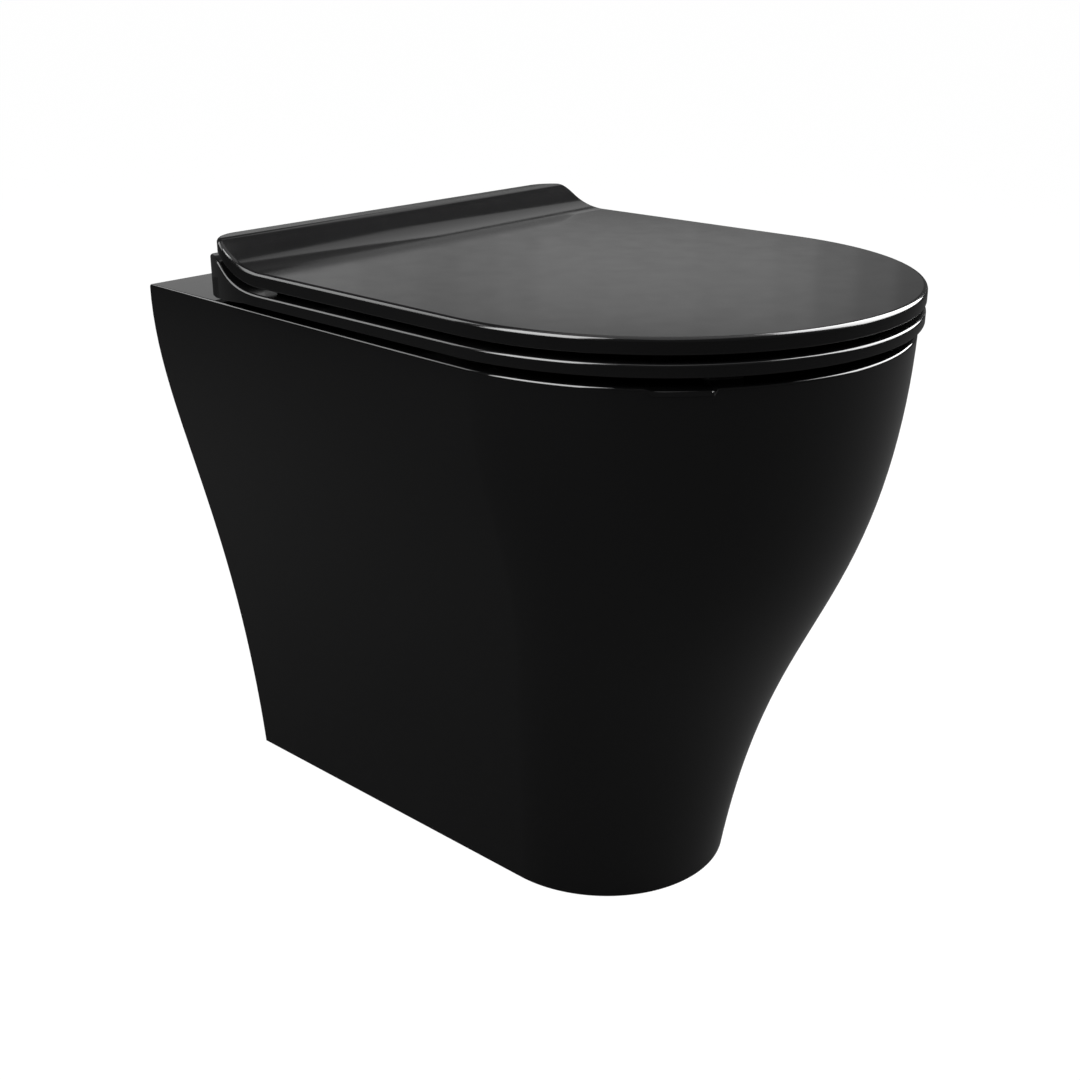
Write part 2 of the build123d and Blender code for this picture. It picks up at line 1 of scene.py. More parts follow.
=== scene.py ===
"""Looks of a black back to wall toilet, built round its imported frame."""

import json
import math

import bmesh
import bpy
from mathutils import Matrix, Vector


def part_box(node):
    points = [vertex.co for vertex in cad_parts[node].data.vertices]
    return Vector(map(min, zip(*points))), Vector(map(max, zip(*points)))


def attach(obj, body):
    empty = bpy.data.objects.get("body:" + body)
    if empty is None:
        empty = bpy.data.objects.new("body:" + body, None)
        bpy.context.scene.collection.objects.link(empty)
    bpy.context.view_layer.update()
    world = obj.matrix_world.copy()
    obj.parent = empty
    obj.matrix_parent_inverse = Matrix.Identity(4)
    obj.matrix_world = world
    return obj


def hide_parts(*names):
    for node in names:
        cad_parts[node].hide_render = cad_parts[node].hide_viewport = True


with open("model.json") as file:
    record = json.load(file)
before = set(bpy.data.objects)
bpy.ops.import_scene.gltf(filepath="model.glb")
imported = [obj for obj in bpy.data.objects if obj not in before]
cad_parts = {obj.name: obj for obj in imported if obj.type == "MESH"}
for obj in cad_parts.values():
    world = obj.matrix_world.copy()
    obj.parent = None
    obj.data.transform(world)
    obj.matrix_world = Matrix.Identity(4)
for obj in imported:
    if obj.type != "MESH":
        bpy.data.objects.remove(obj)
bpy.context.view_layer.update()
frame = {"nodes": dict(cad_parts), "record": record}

NEAR = 1e-5
scene = bpy.context.scene
wall_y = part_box("shroud")[1].y


def at(setback):
    """Y of a place this many metres in front of the wall."""
    return wall_y - setback


# Materials

def new_material(name):
    material = bpy.data.materials.new(name)
    material.use_nodes = True
    tree = material.node_tree
    shader = tree.nodes["Principled BSDF"]
    return material, tree, shader


def node(tree, kind, **inputs):
    made = tree.nodes.new(kind)
    for key, value in inputs.items():
        made.inputs[key.replace("_", " ")].default_value = value
    return made


def noise(tree, scale, detail=3.0, roughness=0.5):
    place = tree.nodes.new("ShaderNodeTexCoord")
    texture = node(tree, "ShaderNodeTexNoise", Scale=scale, Detail=detail, Roughness=roughness)
    tree.links.new(place.outputs["Object"], texture.inputs["Vector"])
    return texture.outputs["Fac"]


def spread(tree, source, low, high):
    """The source's middle range stretched between two values."""
    ramp = node(tree, "ShaderNodeMapRange")
    ramp.inputs["From Min"].default_value = 0.3
    ramp.inputs["From Max"].default_value = 0.7
    ramp.inputs["To Min"].default_value = low
    ramp.inputs["To Max"].default_value = high
    tree.links.new(source, ramp.inputs["Value"])
    return ramp.outputs["Result"]


def blended(tree, source, first, second):
    mix = tree.nodes.new("ShaderNodeMix")
    mix.data_type = "RGBA"
    mix.inputs["A"].default_value = (*first, 1)
    mix.inputs["B"].default_value = (*second, 1)
    tree.links.new(source, mix.inputs["Factor"])
    return mix.outputs["Result"]


def bump(tree, shader, source, distance, strength=1.0):
    made = node(tree, "ShaderNodeBump", Strength=strength, Distance=distance)
    tree.links.new(source, made.inputs["Height"])
    tree.links.new(made.outputs["Normal"], shader.inputs["Normal"])


def black_glaze():
    """Poured glaze: near black, mirror bright, with a faint wave from the firing."""
    material, tree, shader = new_material("black_glaze")
    shader.inputs["IOR"].default_value = 1.5
    colour = blended(tree, noise(tree, 9.0), (0.0045, 0.0045, 0.0047), (0.0065, 0.0065, 0.0068))
    tree.links.new(colour, shader.inputs["Base Color"])
    rough = spread(tree, noise(tree, 34.0), 0.05, 0.075)
    tree.links.new(rough, shader.inputs["Roughness"])
    bump(tree, shader, noise(tree, 7.0, 1.0), 0.0003, 0.12)
    return material


def seat_gloss():
    """Pressed seat plastic: black and glossy, a touch softer than the glaze."""
    material, tree, shader = new_material("seat_gloss")
    shader.inputs["IOR"].default_value = 1.5
    colour = blended(tree, noise(tree, 14.0), (0.005, 0.005, 0.0052), (0.007, 0.007, 0.0073))
    tree.links.new(colour, shader.inputs["Base Color"])
    rough = spread(tree, noise(tree, 60.0), 0.11, 0.14)
    tree.links.new(rough, shader.inputs["Roughness"])
    return material


def plain_finish(name, colour, other, rough, scale, metal=0.0, depth=0.0):
    """A finish with a fine grain in its colour, its roughness and, if deep, its surface."""
    material, tree, shader = new_material(name)
    shader.inputs["Metallic"].default_value = metal
    grain = noise(tree, scale, 5.0)
    tree.links.new(blended(tree, grain, colour, other), shader.inputs["Base Color"])
    tree.links.new(spread(tree, grain, rough * 0.85, rough * 1.15), shader.inputs["Roughness"])
    if depth:
        bump(tree, shader, grain, depth, 0.6)
    return material


def finishes():
    return {
        "glaze": black_glaze(),
        "seat_plastic": seat_gloss(),
        "hinge_metal": plain_finish("coated_zinc", (0.02, 0.02, 0.021), (0.032, 0.032, 0.033),
                                    0.38, 420, depth=0.00004),
        "steel": plain_finish("turned_steel", (0.52, 0.52, 0.53), (0.66, 0.66, 0.66),
                              0.28, 700, 1.0),
        "brass": plain_finish("turned_brass", (0.56, 0.4, 0.16), (0.7, 0.52, 0.24),
                              0.32, 600, 1.0),
        "seal_rubber": plain_finish("seal_rubber", (0.018, 0.018, 0.018), (0.03, 0.03, 0.03),
                                    0.62, 500, depth=0.00005),
        "buffer_rubber": plain_finish("buffer_rubber", (0.02, 0.02, 0.02), (0.035, 0.035, 0.035),
                                      0.55, 400, depth=0.00005),
        "damper_plastic": plain_finish("grey_moulding", (0.2, 0.2, 0.21), (0.26, 0.26, 0.27),
                                       0.42, 300, depth=0.00004),
        "bracket_plastic": plain_finish("white_nylon", (0.62, 0.62, 0.6), (0.72, 0.72, 0.7),
                                        0.48, 260, depth=0.00005),
    }


def dress(obj, material):
    obj.data.materials.clear()
    obj.data.materials.append(material)


def dress_nodes(finish):
    for row in frame["record"]["subparts"]:
        dress(frame["nodes"][row["node"]], finish[row["material_slot"]])


# Modelling

KINDS = {"VERT": "verts", "EDGE": "edges", "FACE": "faces"}


def begin(add, **options):
    """A primitive on its own, open for editing."""
    if bpy.context.object and bpy.context.object.mode == "EDIT":
        bpy.ops.object.mode_set(mode="OBJECT")
    bpy.ops.object.select_all(action="DESELECT")
    add(**options)
    bpy.ops.object.mode_set(mode="EDIT")
    return bpy.context.object


def settle():
    """Leaves edit mode and writes the object's place into its mesh."""
    bpy.ops.object.mode_set(mode="OBJECT")
    bpy.ops.object.transform_apply(location=True, rotation=True, scale=True)


def pick(obj, kind, test):
    """Selects the parts of one kind that pass a test, and nothing else."""
    bpy.ops.mesh.select_mode(type=kind)
    bpy.ops.mesh.select_all(action="DESELECT")
    mesh = bmesh.from_edit_mesh(obj.data)
    for item in getattr(mesh, KINDS[kind]):
        if test(item):
            item.select_set(True)
    mesh.select_flush_mode()
    bmesh.update_edit_mesh(obj.data)


def face_outwards():
    bpy.ops.mesh.select_all(action="SELECT")
    bpy.ops.mesh.normals_make_consistent(inside=False)


def grow(x=0.0, y=0.0, z=0.0):
    bpy.ops.mesh.extrude_region_move(TRANSFORM_OT_translate={"value": (x, y, z)})


def shift(x=0.0, y=0.0, z=0.0):
    bpy.ops.transform.translate(value=(x, y, z))


def stretch(x, y, z, about):
    bpy.ops.transform.resize(value=(x, y, z), center_override=about)


def walk(points, height):
    """Extends the two picked ends of an open outline through mirrored points."""
    for (x, setback), (next_x, next_setback) in zip(points, points[1:]):
        grow(y=setback - next_setback)
        stretch(next_x / x, 1, 1, (0, at(next_setback), height))


SHARP = (60, 120)


def folded(edge, low, high):
    """True where the edge's two faces meet at an angle between these degrees."""
    if len(edge.link_faces) != 2:
        return False
    return low <= math.degrees(edge.calc_face_angle(0.0)) <= high


def level(item, height):
    """True where all the corners of an edge or a face lie at a height."""
    return all(abs(v.co.z - height) < NEAR for v in item.verts)


def round_off(radius, steps):
    bpy.ops.mesh.bevel(offset=radius, segments=steps, affect="EDGES", profile=0.5)


def cut_row(setback):
    bpy.ops.mesh.select_mode(type="FACE")
    bpy.ops.mesh.select_all(action="SELECT")
    bpy.ops.mesh.bisect(plane_co=(0, at(setback), 0), plane_no=(0, 1, 0))


def place_of(vert):
    return wall_y - vert.co.y


def finish_piece(obj, name, material, body, nodes, crease=40):
    face_outwards()
    bpy.ops.object.mode_set(mode="OBJECT")
    bpy.ops.object.select_all(action="DESELECT")
    obj.select_set(True)
    bpy.context.view_layer.objects.active = obj
    bpy.ops.object.transform_apply(location=True, rotation=True, scale=True)
    bpy.ops.object.shade_smooth_by_angle(angle=math.radians(crease))
    bpy.ops.object.modifier_add(type="WEIGHTED_NORMAL")
    obj.modifiers[-1].keep_sharp = True
    bpy.ops.object.modifier_apply(modifier=obj.modifiers[-1].name)
    obj.name = name
    obj.data.name = name
    dress(obj, material)
    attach(obj, body)
    if nodes:
        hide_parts(*nodes)
    return obj


# Seat outline, as (x, setback) in metres

SEAT_HALF, SEAT_NOSE = 0.1822, 0.5196
SIDE_HALF, SIDE_END = 0.1796, 0.142
LID_REAR = (0.1786, 0.0865, 0.0275)
RING_REAR = (0.1637, 0.0735, 0.005)
LID_TOP, LID_THICKNESS = 0.4444, 0.0105
RING_TOP, RING_THICKNESS = 0.4292, 0.0083
LID_STEP = (0.1487, 0.0309, 0.0999, 0.0091)
RING_STEP = (0.1499, 0.048, 0.0813, 0.0207)
STEP_RISE, STEP_ROWS = 0.0165, 36


def turned(centre, point, angle):
    x, y = point[0] - centre[0], point[1] - centre[1]
    c, s = math.cos(angle), math.sin(angle)
    return centre[0] + c * x - s * y, centre[1] + s * x + c * y


def seat_side(rear):
    """Right side of the seat, from the end of the front arc to the rear corner's end."""
    rear_half, rear_setback, corner = rear
    start, end = (SIDE_HALF, SIDE_END), (rear_half, rear_setback)
    lean = math.atan2(SEAT_HALF - SIDE_HALF, SEAT_NOSE - SEAT_HALF - SIDE_END)
    inward = (-math.cos(lean), math.sin(lean))
    run = (end[0] - start[0], end[1] - start[1])
    radius = (run[0] ** 2 + run[1] ** 2) / (2 * (run[0] * inward[0] + run[1] * inward[1]))
    centre = (start[0] + radius * inward[0], start[1] + radius * inward[1])
    low = rear_setback + corner
    reach = math.sqrt((radius - corner) ** 2 - (centre[1] - low) ** 2)
    pivot = (centre[0] + reach, low)
    touch = (centre[0] + reach * radius / (radius - corner),
             centre[1] + (low - centre[1]) * radius / (radius - corner))
    first = math.atan2(start[1] - centre[1], start[0] - centre[0])
    last = math.atan2(touch[1] - centre[1], touch[0] - centre[0])
    points = [turned(centre, start, (last - first) * i / 12) for i in range(13)]
    bend = -math.pi / 2 - math.atan2(touch[1] - low, touch[0] - pivot[0])
    points += [turned(pivot, touch, bend * i / 12) for i in range(1, 13)]
    return points


def step_height(setback, step):
    """Rise of the S between the flat and the ridge, by its foot, head and their pulls."""
    foot, foot_pull, head, head_pull = step
    if setback >= foot:
        return 0.0
    if setback <= head:
        return STEP_RISE
    low, high = 0.0, 1.0
    for _ in range(40):
        t = (low + high) / 2
        place = (foot * (1 - t) ** 3 + 3 * (foot - foot_pull) * t * (1 - t) ** 2
                 + 3 * (head + head_pull) * t ** 2 * (1 - t) + head * t ** 3)
        low, high = (t, high) if place > setback else (low, t)
    return STEP_RISE * (3 * t ** 2 * (1 - t) + t ** 3)


def seat_plate(top, thickness, rear):
    """The D as a flat plate, open for editing."""
    centre = SEAT_NOSE - SEAT_HALF
    obj = begin(bpy.ops.mesh.primitive_circle_add, vertices=256, radius=SEAT_HALF,
                location=(0, at(centre), top))
    settle()
    bpy.ops.object.mode_set(mode="EDIT")
    pick(obj, "VERT", lambda v: place_of(v) < centre - NEAR)
    bpy.ops.mesh.delete(type="VERT")
    pick(obj, "VERT", lambda v: place_of(v) < centre + NEAR)
    side = seat_side(rear)
    walk([(SEAT_HALF, centre)] + side, top)
    bpy.ops.mesh.edge_face_add()
    bpy.ops.mesh.select_all(action="SELECT")
    bpy.ops.mesh.edge_face_add()
    grow(z=-thickness)
    face_outwards()
    return obj


def cut_step(step):
    foot, _, head, _ = step
    for i in range(STEP_ROWS + 1):
        cut_row(foot + (head - foot) * i / STEP_ROWS)


def raise_rows(obj, step, test):
    """Lifts what passes the test along the S, row by row."""
    foot, _, head, _ = step
    mesh = bmesh.from_edit_mesh(obj.data)
    mesh.verts.index_update()
    rows = {}
    for vert in mesh.verts:
        if place_of(vert) < foot and test(vert):
            row = max(round(place_of(vert), 5), head)
            rows.setdefault(row, set()).add(vert.index)
    for row, members in rows.items():
        pick(obj, "VERT", lambda v: v.index in members)
        shift(z=step_height(row, step))


RECESS_LINE, RECESS_REAR, RECESS_MARGIN, RECESS_DEPTH = 0.152, 0.16, 0.013, 0.005
LID_ROUND, LID_LOW_ROUND, RING_ROUND, RING_LOW_ROUND = 0.003, 0.0013, 0.002, 0.0007


def make_lid(material):
    """D-shaped lid with the S and the ridge along its rear, hollowed underneath."""
    low = LID_TOP - LID_THICKNESS
    obj = seat_plate(LID_TOP, LID_THICKNESS, LID_REAR)
    pick(obj, "FACE", lambda f: f.normal.z < -0.9)
    bpy.ops.mesh.bisect(plane_co=(0, at(RECESS_LINE), 0), plane_no=(0, 1, 0))
    pick(obj, "FACE", lambda f: f.normal.z < -0.9
         and wall_y - f.calc_center_median().y > RECESS_REAR)
    bpy.ops.mesh.inset(thickness=RECESS_MARGIN, depth=0)
    grow(z=RECESS_DEPTH)
    pick(obj, "EDGE", lambda e: folded(e, *SHARP) and level(e, low + RECESS_DEPTH))
    round_off(LID_ROUND, 5)
    pick(obj, "EDGE", lambda e: folded(e, *SHARP) and level(e, LID_TOP))
    round_off(LID_ROUND, 7)
    pick(obj, "EDGE", lambda e: folded(e, *SHARP) and level(e, low))
    round_off(LID_LOW_ROUND, 4)
    cut_step(LID_STEP)
    raise_rows(obj, LID_STEP, lambda v: True)
    return finish_piece(obj, "lid_shell", material, "lid", ["lid"])


OPENING_HALF, OPENING_FRONT, OPENING_REAR, OPENING_CORNER = 0.115, 0.452, 0.187, 0.070
BLOCK_BOTTOM, BLOCK_REAR, BLOCK_FRONT = 0.4162, 0.084, 0.130
AXIS_SETBACK, AXIS_HEIGHT = 0.0815, 0.4385
HINGE_X, POST_HALF, LUG_INNER, LUG_OUTER = 0.0775, 0.010, 0.0945, 0.1235
LUG_FRONT, CLEAR = 0.0947, 0.001
KNUCKLE, CARTRIDGE, PIN = 0.0095, 0.00655, 0.00405
CARTRIDGE_LENGTH, LUG_WALL, CHEEK = 0.0275, 0.0015, 0.006
POST_SLOT_FRONT, SLOT_REAR, SLOT_BOTTOM, SLOT_TOP, LUG_SLOT_BOTTOM = 0.1205, 0.05, 0.40, 0.48, 0.428
GROOVE_HALF, GROOVE_FRONT, GROOVE_REAR, GROOVE_TOP = 0.028, 0.0863, 0.0785, 0.4407
CLAMP_X, CLAMP_SETBACK, CLAMP_HEIGHT, CLAMP_SIZE = 0.0832, 0.092, 0.032, (0.0104, 0.03, 0.034)
WEB_INSET, PUNCH = 0.0002, 0.02


def corner_points(x, setback, radius, steps):
    """Quarter turn that ends a side and starts the rear edge."""
    return [(x - radius + radius * math.cos(math.pi / 2 * i / steps),
             setback + radius - radius * math.sin(math.pi / 2 * i / steps))
            for i in range(steps + 1)]


def between(first, last, steps):
    return [(first[0] + (last[0] - first[0]) * i / steps,
             first[1] + (last[1] - first[1]) * i / steps) for i in range(1, steps)]


def block(low, high):
    """A box between two corners, for a Boolean."""
    size = [b - a for a, b in zip(low, high)]
    middle = [(a + b) / 2 for a, b in zip(low, high)]
    begin(bpy.ops.mesh.primitive_cube_add, size=1, location=middle, scale=size)
    settle()
    return bpy.context.object


def combine(obj, others, operation):
    for other in others:
        bpy.ops.object.select_all(action="DESELECT")
        obj.select_set(True)
        bpy.context.view_layer.objects.active = obj
        bpy.ops.object.modifier_add(type="BOOLEAN")
        obj.modifiers[-1].object = other
        obj.modifiers[-1].solver = "EXACT"
        obj.modifiers[-1].operation = operation
        bpy.ops.object.modifier_apply(modifier=obj.modifiers[-1].name)
        bpy.data.objects.remove(other)


def take_out(obj, cutters):
    combine(obj, cutters, "DIFFERENCE")


def hinge_bar(radius, side, low, high):
    """A round bar on the hinge axis, between two distances from the middle."""
    a, b = sorted((side * low, side * high))
    begin(bpy.ops.mesh.primitive_cylinder_add, vertices=96, radius=radius, depth=b - a,
          rotation=(0, math.pi / 2, 0), location=((a + b) / 2, at(AXIS_SETBACK), AXIS_HEIGHT))
    settle()
    return bpy.context.object


def make_lid_lug(side, name, material):
    """Lug under the lid that holds a cartridge and turns on the pin."""
    lug = hinge_bar(KNUCKLE, side, LUG_INNER, LUG_OUTER)
    a, b = sorted((side * (LUG_INNER + WEB_INSET), side * (LUG_OUTER - WEB_INSET)))
    web_top = LID_TOP - LID_THICKNESS + STEP_RISE + CLEAR
    web = block((a, at(LUG_FRONT), AXIS_HEIGHT), (b, at(AXIS_SETBACK), web_top))
    combine(lug, [web], "UNION")
    take_out(lug, [hinge_bar(CARTRIDGE, side, LUG_INNER + LUG_WALL, LUG_OUTER + CLEAR),
                   hinge_bar(PIN, side, LUG_INNER - CLEAR, LUG_INNER + LUG_WALL + CLEAR)])
    bpy.context.view_layer.objects.active = lug
    bpy.ops.object.mode_set(mode="EDIT")
    finish_piece(lug, name, material, "lid", ["lid"])


def make_seat_knuckles(side, name, material):
    """Knuckle and outer cheek of the seat ring, on both sides of a post."""
    inner, outer = HINGE_X - POST_HALF, HINGE_X + POST_HALF
    seat_end = inner - CARTRIDGE_LENGTH
    knuckle = hinge_bar(KNUCKLE, side, seat_end - LUG_WALL, inner)
    take_out(knuckle, [hinge_bar(CARTRIDGE, side, seat_end, inner + CLEAR)])
    cheek = hinge_bar(KNUCKLE, side, outer, outer + CHEEK)
    take_out(cheek, [hinge_bar(PIN, side, outer - CLEAR, outer + CHEEK + CLEAR)])
    bpy.ops.object.select_all(action="DESELECT")
    cheek.select_set(True)
    knuckle.select_set(True)
    bpy.context.view_layer.objects.active = knuckle
    bpy.ops.object.join()
    bpy.ops.object.mode_set(mode="EDIT")
    finish_piece(knuckle, name, material, "seat", ["seat_ring"])


def make_clamp_lug(side, name, material):
    """Lug inside the skirt that takes the clamp screw."""
    begin(bpy.ops.mesh.primitive_cube_add, size=1,
          location=(side * CLAMP_X, at(CLAMP_SETBACK), CLAMP_HEIGHT), scale=CLAMP_SIZE)
    settle()
    bpy.ops.object.mode_set(mode="EDIT")
    obj = bpy.context.object
    finish_piece(obj, name, material, "pan", ["shroud"])


def make_ring(material):
    """Slim ring with a wide opening and a raised block along its rear."""
    low = RING_TOP - RING_THICKNESS
    obj = seat_plate(RING_TOP, RING_THICKNESS, RING_REAR)
    bpy.ops.object.mode_set(mode="OBJECT")
    centre = OPENING_FRONT - OPENING_HALF
    hole = begin(bpy.ops.mesh.primitive_circle_add, vertices=192, radius=OPENING_HALF,
                 location=(0, at(centre), RING_TOP + PUNCH))
    settle()
    bpy.ops.object.mode_set(mode="EDIT")
    pick(hole, "VERT", lambda v: place_of(v) < centre - NEAR)
    bpy.ops.mesh.delete(type="VERT")
    pick(hole, "VERT", lambda v: place_of(v) < centre + NEAR)
    walk([(OPENING_HALF, centre)] + corner_points(OPENING_HALF, OPENING_REAR, OPENING_CORNER, 24),
         RING_TOP + PUNCH)
    bpy.ops.mesh.edge_face_add()
    bpy.ops.mesh.select_all(action="SELECT")
    bpy.ops.mesh.edge_face_add()
    grow(z=-2 * PUNCH)
    face_outwards()
    bpy.ops.object.mode_set(mode="OBJECT")
    take_out(obj, [hole])
    bpy.ops.object.mode_set(mode="EDIT")
    pick(obj, "EDGE", lambda e: folded(e, *SHARP) and level(e, RING_TOP))
    round_off(RING_ROUND, 6)
    pick(obj, "EDGE", lambda e: folded(e, *SHARP) and level(e, low))
    round_off(RING_LOW_ROUND, 2)
    cut_step(RING_STEP)
    for setback in (BLOCK_FRONT, BLOCK_REAR):
        cut_row(setback)
    middle = (RING_TOP + low) / 2
    raise_rows(obj, RING_STEP, lambda v: v.co.z > middle)
    drop_rows(obj, lambda v: v.co.z < low + 0.001 and place_of(v) < BLOCK_FRONT)
    bpy.ops.object.mode_set(mode="OBJECT")
    cutters = []
    for side in (-1, 1):
        cutters.append(block((side * HINGE_X - POST_HALF, at(POST_SLOT_FRONT), SLOT_BOTTOM),
                             (side * HINGE_X + POST_HALF, at(SLOT_REAR), SLOT_TOP)))
        inner, outer = sorted((side * (LUG_INNER - CLEAR), side * (LUG_OUTER + CLEAR)))
        cutters.append(block((inner, at(LUG_FRONT + CLEAR), LUG_SLOT_BOTTOM),
                             (outer, at(SLOT_REAR), SLOT_TOP)))
    cutters.append(block((-GROOVE_HALF, at(GROOVE_FRONT), SLOT_BOTTOM),
                         (GROOVE_HALF, at(GROOVE_REAR), GROOVE_TOP)))
    take_out(obj, cutters)
    bpy.ops.object.mode_set(mode="EDIT")
    return finish_piece(obj, "seat_ring_shell", material, "seat", ["seat_ring"])


def drop_rows(obj, test):
    """Lowers the underside of the block along its slope."""
    mesh = bmesh.from_edit_mesh(obj.data)
    mesh.verts.index_update()
    rows = {}
    for vert in mesh.verts:
        if test(vert):
            rows.setdefault(max(round(place_of(vert), 5), BLOCK_REAR), set()).add(vert.index)
    fall = RING_TOP - RING_THICKNESS - BLOCK_BOTTOM
    for row, members in rows.items():
        pick(obj, "VERT", lambda v: v.index in members)
        shift(z=-fall * (BLOCK_FRONT - row) / (BLOCK_FRONT - BLOCK_REAR))


# Pan, in metres: each curve has four points as (width or setback, height)

RIM = 0.4142
SIDE_CURVE = ((0.0939, 0.0), (0.1128, 0.2283), (0.170, 0.318), (0.167, RIM))
NOSE_CURVE = ((0.3999, 0.0), (0.4351, 0.2212), (0.5088, 0.2129), (0.516, RIM))
FRONT_SWELL = 0.010
CASTING_WALL = 0.0105
BOWL_FLOOR = 0.175
BOWL_SIDE = ((0.042, BOWL_FLOOR), (0.075, 0.2302), (0.138, 0.3102), (0.138, RIM))
BOWL_FRONT = ((0.368, BOWL_FLOOR), (0.400, 0.2152), (0.475, 0.3002), (0.475, RIM))
BOWL_REAR = ((0.284, BOWL_FLOOR), (0.284, 0.3002), (0.168, 0.3002), (0.168, RIM))
BOWL_CORNER = 0.062
TRAP_RADIUS, SUMP_SETBACK = 0.038, 0.325
SLOT_HALF, SLOT_LOW, SLOT_HIGH = 0.055, 0.327, 0.353
SKIRT_ROWS, BOWL_ROWS, CIRCLE = 36, 20, 256
BACK_ZONE, AT_WALL, LONG_EDGE, START_ANGLE = 0.05, 1e-4, 0.15, 2.1
LIFT, LIFTED = 0.1, 0.09
FIRST_ROW, TRAP_DROP = 0.012, 0.004
MOUTH_HALF, MOUTH_REAR, MOUTH_FRONT = 0.1395, 0.166, 0.4765
BOWL_BACK, BOWL_BACK_LOW, BOWL_BACK_HIGH, SLOT_REACH = 0.27, 0.29, 0.38, 0.16
RIM_ROUND, MOUTH_ROUND, RIM_FOLD = 0.0022, 0.006, (40, 120)


def curve_at(points, height):
    """First coordinate of a rising curve at a height."""
    low, high = 0.0, 1.0
    for _ in range(40):
        t = (low + high) / 2
        weights = ((1 - t) ** 3, 3 * t * (1 - t) ** 2, 3 * t ** 2 * (1 - t), t ** 3)
        z = sum(w * p[1] for w, p in zip(weights, points))
        low, high = (t, high) if z < height else (low, t)
    return sum(w * p[0] for w, p in zip(weights, points))


def front_arc(height):
    """Radius and centre of the pan's round front."""
    side = curve_at(SIDE_CURVE, height)
    share = (side - SIDE_CURVE[0][0]) / (SIDE_CURVE[3][0] - SIDE_CURVE[0][0])
    radius = side + FRONT_SWELL * share
    return radius, curve_at(NOSE_CURVE, height) - radius


def draw_skirt():
    """The skirt's outer skin, from the floor up to the rim, open at the wall."""
    radius, centre = front_arc(0.0)
    obj = begin(bpy.ops.mesh.primitive_circle_add, vertices=CIRCLE, radius=radius,
                location=(0, at(centre), 0))
    settle()
    bpy.ops.object.mode_set(mode="EDIT")
    pick(obj, "VERT", lambda v: place_of(v) < centre + NEAR)
    bpy.ops.mesh.delete(type="VERT")
    first = centre + radius * math.sin(math.radians(START_ANGLE))
    pick(obj, "VERT", lambda v: place_of(v) < first)
    step = math.radians(360 / CIRCLE)
    walk([(radius * math.cos(step), centre + radius * math.sin(step)), (SIDE_CURVE[0][0], 0.0)],
         0.0)
    height = 0.0
    for i in range(1, SKIRT_ROWS + 1):
        z = RIM * (i / SKIRT_ROWS)
        pick(obj, "VERT", lambda v: abs(v.co.z - height) < NEAR)
        grow(z=z - height)
        new_radius, new_centre = front_arc(z)
        pick(obj, "VERT", lambda v: abs(v.co.z - z) < NEAR and place_of(v) > BACK_ZONE)
        stretch(new_radius / radius, new_radius / radius, 1, (0, at(centre), z))
        shift(y=centre - new_centre)
        ratio = curve_at(SIDE_CURVE, z) / curve_at(SIDE_CURVE, height)
        pick(obj, "VERT", lambda v: abs(v.co.z - z) < NEAR and place_of(v) < BACK_ZONE)
        stretch(ratio, 1, 1, (0, wall_y, z))
        radius, centre, height = new_radius, new_centre, z
    pick(obj, "EDGE", lambda e: e.calc_length() > LONG_EDGE)
    bpy.ops.mesh.subdivide(number_cuts=7)
    pick(obj, "VERT", lambda v: abs(v.co.z - RIM) < NEAR and place_of(v) < AT_WALL)
    bpy.ops.mesh.edge_face_add()
    pick(obj, "EDGE", lambda e: level(e, RIM) and all(place_of(v) < AT_WALL for v in e.verts))
    bpy.ops.mesh.subdivide(number_cuts=23)
    return obj


def bowl_loop(height):
    return curve_at(BOWL_SIDE, height), curve_at(BOWL_FRONT, height), curve_at(BOWL_REAR, height)


def draw_bowl(obj):
    """The mouth and the inside of the bowl, down to the trapway's inlet."""
    half, front, rear = bowl_loop(RIM)
    centre, aside = front - half, RIM + LIFT
    bpy.ops.mesh.select_all(action="DESELECT")
    bpy.ops.mesh.primitive_circle_add(vertices=CIRCLE, radius=half, location=(0, at(centre), aside))
    pick(obj, "VERT", lambda v: v.co.z > RIM + LIFTED and place_of(v) < centre - NEAR)
    bpy.ops.mesh.delete(type="VERT")
    pick(obj, "VERT", lambda v: v.co.z > RIM + LIFTED and place_of(v) < centre + NEAR)
    straight = between((half, centre), (half, rear + BOWL_CORNER), 4)
    corner = corner_points(half, rear, BOWL_CORNER, 10)
    walk([(half, centre)] + straight + corner, aside)
    bpy.ops.mesh.edge_face_add()
    pick(obj, "EDGE", lambda e: all(v.co.z > RIM + LIFTED and place_of(v) < rear + NEAR
                                    for v in e.verts))
    bpy.ops.mesh.subdivide(number_cuts=9)
    pick(obj, "VERT", lambda v: v.co.z > RIM + LIFTED)
    shift(z=RIM - aside)
    fall = RIM - BOWL_FLOOR
    heights = [RIM - FIRST_ROW] + [RIM - fall * i / BOWL_ROWS for i in range(2, BOWL_ROWS + 1)]
    loops = [(z,) + bowl_loop(z) for z in heights]
    loops.append((BOWL_FLOOR - TRAP_DROP, TRAP_RADIUS,
                  SUMP_SETBACK + TRAP_RADIUS, SUMP_SETBACK - TRAP_RADIUS))
    height = RIM
    for z, new_half, new_front, new_rear in loops:
        grow(z=z - height)
        stretch(new_half / half, (new_front - new_rear) / (front - rear), 1,
                (0, at((front + rear) / 2), z))
        shift(y=(front + rear - new_front - new_rear) / 2)
        height, half, front, rear = z, new_half, new_front, new_rear


def in_mouth(vert):
    return abs(vert.co.x) < MOUTH_HALF and MOUTH_REAR < place_of(vert) < MOUTH_FRONT


